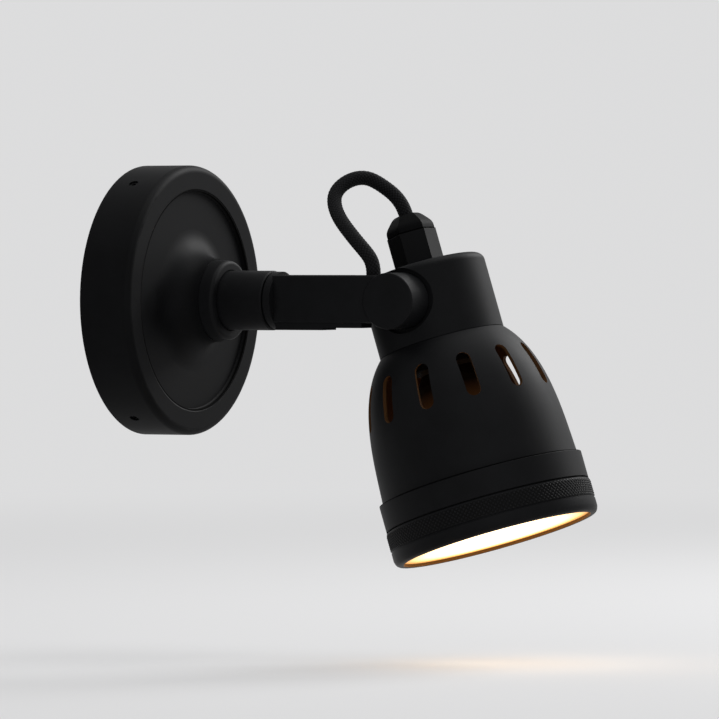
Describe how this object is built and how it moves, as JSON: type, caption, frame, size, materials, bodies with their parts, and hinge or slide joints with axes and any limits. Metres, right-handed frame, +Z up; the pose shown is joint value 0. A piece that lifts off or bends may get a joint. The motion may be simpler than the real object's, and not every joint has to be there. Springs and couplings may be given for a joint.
{
  "type": "pivoting spotlight wall light",
  "caption": "Pivoting spotlight wall light: round rose, swivelling arm, friction knuckle, vented bell shade with knurled bezel, and a braided cable loop.",
  "frame": {"origin": "on the wall plane, behind the middle of the round rose", "axes": "+Z up, +Y into the wall, so the light stands out along -Y, and +X to the right seen from the room"},
  "size_m": [0.1377, 0.2025, 0.1787],
  "materials": {
    "black_paint": "matt black powder coat on die-cast and spun aluminium",
    "black_paint_bezel": "matt black powder coat over a diamond knurl",
    "black_steel": "blackened steel",
    "zinc_steel": "zinc plated sheet steel",
    "plated_steel": "bright zinc plate",
    "spring_steel": "oiled spring steel",
    "bronze": "sintered bronze",
    "brass": "plain brass",
    "ivory_plastic": "moulded nylon",
    "black_plastic": "moulded nylon",
    "black_rubber": "soft rubber",
    "silicone": "translucent silicone",
    "core_insulation": "heat resistant insulation",
    "fibre": "hard fibre",
    "holder_plastic": "moulded heat resistant plastic",
    "lamp_base": "thin stamped shell",
    "lamp_glass": "reflector coated glass",
    "frosted_glass": "frosted, warm when lit",
    "braided_cable": "black braided textile over a round flexible cable"
  },
  "bodies": {
    "root": {"wall_plate": "zinc_steel", "entry_grommet": "black_rubber", "terminal_block": "ivory_plastic", "terminal_screws": "plated_steel", "terminal_fixings": "plated_steel", "earth_screw": "brass", "supply_cores": "core_insulation", "rose_cover": "black_paint", "rose_grub_screws": "black_steel", "sleeve_collar": "black_paint", "arm_sleeve": "black_paint", "swivel_bush": "bronze", "swivel_stop_pin": "plated_steel"},
    "arm": {"swivel_wave_washer": "plated_steel", "swivel_stop_washer": "plated_steel", "swivel_circlip": "spring_steel", "arm_bar": "black_paint", "wireway_cover": "black_paint", "cover_screw": "black_steel", "cable_clamp": "black_plastic", "outlet_grommet": "black_rubber", "arm_cable": "braided_cable", "knuckle_disc": "black_paint", "loop_cable": "braided_cable"},
    "head": {"pivot_nut": "plated_steel", "pivot_springs": "spring_steel", "pivot_bolt": "black_steel", "friction_washer": "fibre", "head_cap": "black_paint", "shade_bell": "black_paint", "rim_band": "black_paint", "lamp_holder": "holder_plastic", "holder_contact": "brass", "holder_nipple": "brass", "nipple_nut": "plated_steel", "holder_bracket": "zinc_steel", "bracket_screws": "plated_steel", "lamp_base": "lamp_base", "lamp_bulb": "lamp_glass", "gland_body": "black_paint", "gland_seal": "black_rubber", "gland_lock_nut": "plated_steel", "gland_dome": "black_paint", "head_cable": "braided_cable"},
    "lens_pack": {"lens": "frosted_glass", "lens_gasket": "silicone", "snap_ring": "spring_steel"},
    "bezel": {"bezel_ring": "black_paint_bezel"}
  },
  "joints": [
    {"name": "arm_swivel", "type": "hinge", "parent": "root", "child": "arm", "pos_m": [0, -0.0644, 0], "axis": [0, -1, 0], "range_deg": [-165, 165]},
    {"name": "head_tilt", "type": "hinge", "parent": "arm", "child": "head", "pos_m": [0, -0.1257, 0], "axis": [-1, 0, 0], "range_deg": [-37.5, 72.5], "deforming": ["loop_cable"]},
    {"name": "lens_slide", "type": "slide", "parent": "head", "child": "lens_pack", "axis": [0, -0.3007, -0.9537], "range_m": [0, 0.0031]},
    {"name": "bezel_turn", "type": "hinge", "parent": "lens_pack", "child": "bezel", "pos_m": [0.031, -0.1257, 0], "axis": [0, -0.3007, -0.9537], "range_deg": [0, 720]}
  ],
  "couplings": [
    {"joint": "lens_slide", "follows": "bezel_turn", "m_per_rad": 0.00023873}
  ]
}
